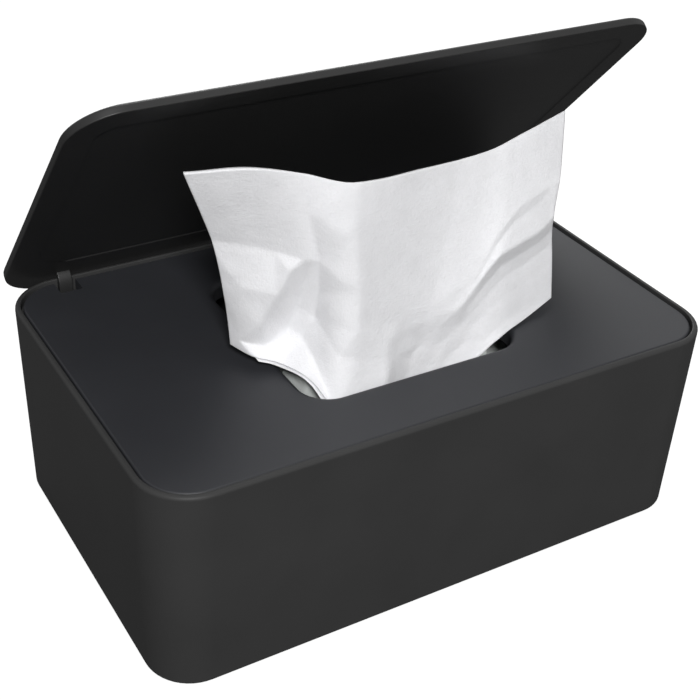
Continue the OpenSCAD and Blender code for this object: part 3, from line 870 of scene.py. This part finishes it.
class DISPENSER_OT_raised_wipe(Operator):
    """Builds the wipe that is pulled up: two layers joined by a fold along their top"""
    bl_idname = "dispenser.raised_wipe"
    bl_label = "Raised wipe"

    # The curves along its four edges, in millimetres. The hem dips into the opening.
    hem = [
        (-45, -1.9, 68.8), (-42, -9.9, 68.4), (-36.5, -17.4, 68.2), (-32.9, -27.9, 67.8),
        (-28, -34.9, 60.4), (-14.5, -34.5, 50.2), (0, -34.5, 50.2), (16.5, -34.9, 60.4),
        (28.5, -34.9, 68), (42, -31.3, 70), (53.9, -27.9, 72.1),
    ]
    top = [
        (-64.5, -11.9, 132.4), (-48, -16.9, 132.6), (-34, -19.9, 129.8),
        (-17.5, -22.9, 124.8), (10, -17.9, 121.8), (33, -13.9, 120.8),
        (46.5, -11.9, 122.9), (66.7, -7.9, 125.9),
    ]
    left = [
        (-45, -1.9, 68.8), (-48.1, -3.4, 86.6), (-54.2, -7.4, 107), (-64.5, -11.9, 132.4),
    ]
    right = [
        (53.9, -27.9, 72.1), (54.6, -24.9, 84.5), (56.5, -20, 96.3), (61.5, -14.9, 109.2),
        (66.7, -7.9, 125.9),
    ]
    # The fold lines, drawn on the flat layer. Each point is its place in millimetres from
    # the layer's left side and from its hem, and how far the cloth stands out there.
    folds = [
        # Round the edge, a little outside it
        [(-4, 84, -0.6), (24, 84, -0.2), (43, 84, -0.6), (66, 84, 1.8), (95, 84, 0.4),
         (125, 84, -0.6), (154, 84, -2.2), (154, 68, -0.4), (154, 55, 2.2), (154, 42, 1.8),
         (154, 36.5, -1.2), (154, 29, -3.1), (154, 19, -4.4), (154, 8, -5.0),
         (154, -4, -5.2), (123, -4, -4.3), (108, -4, -5.0), (91, -4, -4.8), (84, -4, -3.4),
         (79.5, -4, -0.8), (77, -4, 2.4), (60, -4, 3.0), (24, -4, 4.6),
         (-4, -4, 5.6), (-4, 28, 2.4), (-4, 55, -2.4), (-4, 84, -0.6)],
        # The broad ridge down the middle, and the shallow valley on its left
        [(66, 84, 1.8), (63, 64, 2.4), (65, 48, 2.8), (66, 34, 2.6), (65, 23, 1.0)],
        [(43, 84, -0.6), (44, 66, -1.2), (47, 52, -2.6)],
        # The flap at the left: the line across its top, its right edge and a faint fold
        [(-4, 55, -2.4), (13, 53, -2.6), (26, 51, -2.2), (40, 50, -0.6)],
        [(40, 50, -0.6), (33.5, 44, 1.6), (27, 32, 3.6), (19.5, 19, 4.6), (8, 7, 5.2)],
        [(13, 53, -2.6), (11, 33, 2.6), (8, 20, 4.2)],
        # The steep side and the valley on the flap's right
        [(40, 50, -0.6), (40.5, 42, -4.0), (36.5, 29, -6.0), (31.5, 18.5, -5.2),
         (20.5, 8.5, 0.6), (8, 7, 5.2)],
        [(40, 50, -0.6), (47, 52, -2.6), (47.5, 40, -5.0), (45, 28, -7.2), (39, 16.5, -6.6),
         (28, 11, -2.6), (20.5, 8.5, 0.6)],
        # The band above the hem, which turns outward over the lip, and its right edge
        [(39, 16.5, -6.6), (48, 18, -4.2), (58, 21, -0.8), (65, 23, 1.0), (76, 25, 2.4)],
        [(79, 36, 1.4), (77, 31, 2.2), (76, 25, 2.4), (77, 18, 2.6), (77, -4, 2.4)],
        # The bay beside the band, where the wipe draws back, under an arch
        [(79.5, -4, -0.8), (79.5, 12, -0.8), (79.3, 24, 0.2), (81.5, 32.5, 0.4),
         (88, 33, 0.2), (94, 27.5, -0.6)],
        [(84, -4, -3.4), (84, 12, -3.4), (84.5, 22, -3.0), (88, 26, -2.8),
         (92.5, 21, -3.4)],
        [(91, -4, -4.8), (91, 9, -4.6), (91.5, 15, -4.4)],
        [(79, 36, 1.4), (84, 38.5, 1.2), (90, 37, 1.0), (96, 31, 0.8), (101, 29, 1.2)],
        # The folds that fan out to the right edge, the lower one with a hollow under it
        [(101, 29, 1.2), (107, 38, 2.2), (115, 48, 2.8), (123, 52, 3.0), (130, 55, 3.0),
         (144, 55.5, 2.8), (154, 55, 2.2)],
        [(101, 29, 1.2), (105.5, 34.4, 1.7), (110.5, 39.5, 2.0), (117, 45, 2.1),
         (125, 49, 2.1), (136, 51, 2.1)],
        [(101, 29, 1.2), (105, 32.2, 1.9), (111, 36, 2.6), (119, 38.5, 3.0), (131, 38, 3.0),
         (139, 37.5, 2.8), (148, 40, 2.3), (154, 42, 1.8)],
        [(103, 27, -0.5), (112, 31, -0.9), (120, 33.4, -1.1), (131, 33, -1.1),
         (140, 32.6, -1.1), (148, 34.6, -1.1), (154, 36.5, -1.2)],
        [(105, 23, -2.2), (113, 25, -2.9), (121, 27, -3.3), (131, 27, -3.3),
         (143, 27.4, -3.2), (154, 29, -3.1)],
        [(110, 17.5, -3.8), (118, 18, -4.4), (131, 18.4, -4.6), (154, 19, -4.4)],
        [(117, 7, -5.0), (131, 7.6, -5.1), (154, 8, -5.0)],
        # The small arch at the opening's right front corner
        [(95, 14, -4.3), (97.5, 20.5, -3.1), (101, 21.5, -2.9), (106, 17.5, -3.7),
         (112, 6, -4.7), (123, -4, -4.3)],
        [(99.5, 13, -4.9), (103, 13, -5.0), (108, -4, -5.0)],
    ]
    # The way that the cloth stands out, towards the front left and up
    toward = Vector((-0.49, -0.73, 0.48))
    # Its gentle unevenness: height, size and seed of each kind
    puckers = ((0.35, 17, 2), (0.16, 6, 5))
    # How far the rear layer's hem hangs below the front one's, in rows of faces
    hem_step = 1.6
    # The opening's front lip from the side, as (z, y) in millimetres
    lip_line = [(60, -36.0), (64.5, -36.0), (65.3, -36.3), (66, -36.9), (66.9, -39)]

    def execute(self, context):
        sizes = settings(context).wipes
        bm = bmesh.new()
        front = self.add_layer(bm, sizes)
        flat = [(corner.co.x + 0.5, corner.co.y + 0.5) for corner in front]
        self.drape(front, flat, sizes)
        bmesh.ops.smooth_vert(
            bm, verts=[corner for corner in front if not corner.is_boundary],
            factor=0.6, use_axis_x=True, use_axis_y=True, use_axis_z=True)
        bmesh.ops.recalc_face_normals(bm, faces=bm.faces)
        bm.normal_update()
        rearward = -1 if sum(corner.normal.y for corner in front) < 0 else 1
        moves = [corner.normal * (rearward * sizes.loft) for corner in front]
        rear = self.add_layer(bm, sizes)
        self.back(front, rear, moves, flat, sizes)
        self.join_tops(bm, (front, rear), flat, sizes)
        wipe = new_piece("raised_wipe_cloth", bm)
        cloth_shading(wipe, sizes.thickness)
        finish = nonwoven(
            "raised_wipe_finish", settings(context).colours.wipe, see_through=0.25)
        dress(wipe, finish, "panel", "raised_wipe")
        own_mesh(wipe)
        return {"FINISHED"}

    @staticmethod
    def add_layer(bm, sizes):
        """Adds a flat layer that is one metre wide and high, row by row from its hem."""
        return bmesh.ops.create_grid(
            bm, x_segments=sizes.columns, y_segments=sizes.rows, size=0.5)["verts"]

    def drape(self, front, flat, sizes):
        """Hangs the front layer between its four edges, with its folds and puckers."""
        edges = [in_metres(curve) for curve in (self.hem, self.top, self.left, self.right)]
        leaf = Vector((sizes.width, sizes.length / 2)) / MM
        surface = fold_surface(self.folds)
        for corner, (across, up) in zip(front, flat):
            corner.co = patch(edges, across, up)
            lift = height_at(surface, Vector((across * leaf.x, up * leaf.y)))
            lift += sum(height * pucker(corner.co, size, seed)
                        for height, size, seed in self.puckers)
            corner.co += self.toward * (lift * MM)

    def back(self, front, rear, moves, flat, sizes):
        """Lays the rear layer behind the front one, and holds both behind the lip."""
        row = sizes.columns + 1
        slides = [lower.co - upper.co for lower, upper in zip(front, front[row:])]
        slides = slides[:row] + slides
        for here, behind, (_, up), move, slide in zip(front, rear, flat, moves, slides):
            gap = 1 + 0.5 * pucker(here.co, 13, 8)
            behind.co = here.co + move * gap + slide * (self.hem_step * (1 - up) ** 4)
        for corner in front:
            corner.co.y = max(corner.co.y, self.lip_guard(corner.co.z))
        for corner in rear:
            corner.co.y = max(corner.co.y, self.lip_guard(corner.co.z) + sizes.loft)

    @staticmethod
    def join_tops(bm, layers, flat, sizes):
        """Joins the top edges of both layers, where the wipe is folded in two."""
        last = 1 - 0.5 / sizes.rows
        tops = [{corner for corner, (_, up) in zip(layer, flat) if up > last}
                for layer in layers]
        edges = [edge for edge in bm.edges if edge.is_boundary
                 and any(top.issuperset(edge.verts) for top in tops)]
        bmesh.ops.bridge_loops(bm, edges=edges)
        bmesh.ops.recalc_face_normals(bm, faces=bm.faces)

    def lip_guard(self, up):
        """How far forward the cloth may reach at that height."""
        for (low, near), (high, far) in zip(self.lip_line, self.lip_line[1:]):
            if up / MM < high:
                share = max(0.0, (up / MM - low) / (high - low))
                return (near + (far - near) * share) * MM
        return -math.inf


# ---- Stage ----

class DISPENSER_OT_stage(Operator):
    """Builds the floor, the lamps, the world and the camera"""
    bl_idname = "dispenser.stage"
    bl_label = "Stage"

    # The photograph's camera: its place in millimetres, its turns in degrees and its lens
    eye = (-196.34, -308.79, 287.36)
    yaw, pitch, roll = 31.91, 28.23, 2.92
    lens = 70.17
    shift = (-0.0027, -0.1538)
    # The middle of the box, which every lamp points at
    target = (0, 0, 0.06)
    # How much of its own light the floor shows to the camera and to a glossy ray
    floor_glow, floor_seen, floor_mirrored = 1.15, 0.75, 0.03
    # How much less light the floor sends back up to the object
    floor_bounce = 0.08
    # The sky's light on the object, and what the camera and a glossy ray see besides
    sky_light, sky_seen, sky_mirrored = 0.18, 0.82, 0.25

    def execute(self, context):
        scene = context.scene
        self.add_camera(scene)
        self.add_floor(settings(context).colours.floor)
        self.add_world(scene)
        self.add_lamp("key_lamp", (-0.52, -1.10, 1.05), size=0.35, watts=22.5)
        self.add_lamp("top_lamp", (0.35, 0.55, 1.25), size=0.7, watts=5)
        self.add_lamp("rear_lamp", (0.55, 1.25, 0.60), size=0.6, watts=7)
        scene.view_settings.view_transform = "Standard"
        return {"FINISHED"}

    def add_camera(self, scene):
        yaw, pitch, roll = map(math.radians, (self.yaw, self.pitch, self.roll))
        ahead = Vector((
            math.sin(yaw) * math.cos(pitch), math.cos(yaw) * math.cos(pitch),
            -math.sin(pitch)))
        level = Vector((math.cos(yaw), -math.sin(yaw), 0))
        upward = level.cross(ahead)
        right = level * math.cos(roll) + upward * math.sin(roll)
        up = upward * math.cos(roll) - level * math.sin(roll)
        turned = Matrix((right, up, -ahead)).transposed().to_4x4()
        camera = bpy.data.objects.new("camera", bpy.data.cameras.new("camera"))
        camera.data.lens = self.lens
        camera.data.sensor_width = 36
        camera.data.shift_x, camera.data.shift_y = self.shift
        camera.data.clip_start = 0.01
        camera.matrix_world = Matrix.Translation(Vector(self.eye) * MM) @ turned
        scene.collection.objects.link(camera)
        scene.camera = camera

    def add_floor(self, shade):
        bm = bmesh.new()
        bmesh.ops.create_grid(bm, x_segments=1, y_segments=1, size=8)
        floor = new_piece("studio_floor", bm)
        finish = Finish(bpy.data.materials.new("floor_finish"))
        seen, mirrored = finish.rays()
        matt = finish.node("ShaderNodeBsdfPrincipled", {}, {
            "Base Color": finish.blend(seen, tint(shade, self.floor_bounce), shade),
            "Roughness": 0.9, "Specular IOR Level": 0.1})
        glow = finish.node("ShaderNodeEmission", {}, {"Strength": self.floor_glow})
        mixed = finish.node("ShaderNodeMixShader", {}, {
            0: seen * self.floor_seen + mirrored * self.floor_mirrored,
            1: matt.outputs[0], 2: glow.outputs[0]})
        finish.node("ShaderNodeOutputMaterial", {}, {"Surface": mixed.outputs[0]})
        floor.data.materials.append(finish.owner)

    def add_world(self, scene):
        finish = Finish(bpy.data.worlds.new("studio"))
        seen, mirrored = finish.rays()
        strength = seen * self.sky_seen + mirrored * self.sky_mirrored + self.sky_light
        sky = finish.node("ShaderNodeBackground", {}, {
            "Color": (1, 1, 1, 1), "Strength": strength})
        finish.node("ShaderNodeOutputWorld", {}, {"Surface": sky.outputs[0]})
        scene.world = finish.owner

    def add_lamp(self, name, place, size, watts):
        lamp = bpy.data.objects.new(name, bpy.data.lights.new(name, "AREA"))
        lamp.data.shape, lamp.data.size, lamp.data.energy = "DISK", size, watts
        aim = Vector(self.target) - Vector(place)
        turned = aim.to_track_quat("-Z", "Y").to_matrix().to_4x4()
        lamp.matrix_world = Matrix.Translation(place) @ turned
        bpy.context.scene.collection.objects.link(lamp)


# ---- Sidebar ----

STEPS = (
    DISPENSER_OT_stage, DISPENSER_OT_box, DISPENSER_OT_small_parts,
    DISPENSER_OT_cover_panel, DISPENSER_OT_lid, DISPENSER_OT_stack,
    DISPENSER_OT_next_wipe, DISPENSER_OT_raised_wipe,
)


class DISPENSER_PT_sidebar(Panel):
    """Lists the dispenser's pieces in the order that they are built"""
    bl_idname = "DISPENSER_PT_sidebar"
    bl_label = "Wipes dispenser"
    bl_space_type = "VIEW_3D"
    bl_region_type = "UI"
    bl_category = "Wipes"

    def draw(self, context):
        for step in STEPS:
            self.layout.operator(step.bl_idname)
        for group in ("box", "cover", "lid", "wipes", "colours"):
            sizes = getattr(settings(context), group)
            column = self.layout.column(heading=group.capitalize())
            for name in sizes.__annotations__:
                column.prop(sizes, name)


GROUPS = (BoxSizes, CoverSizes, LidSizes, WipeSizes, Colours, Dispenser)


def register():
    for kind in GROUPS + STEPS + (DISPENSER_PT_sidebar,):
        bpy.utils.register_class(kind)
    bpy.types.Scene.dispenser = PointerProperty(type=Dispenser)


def unregister():
    del bpy.types.Scene.dispenser
    for kind in reversed(GROUPS + STEPS + (DISPENSER_PT_sidebar,)):
        bpy.utils.unregister_class(kind)


def main():
    register()
    for step in STEPS:
        area, name = step.bl_idname.split(".")
        getattr(getattr(bpy.ops, area), name)()


if __name__ == "__main__":
    main()
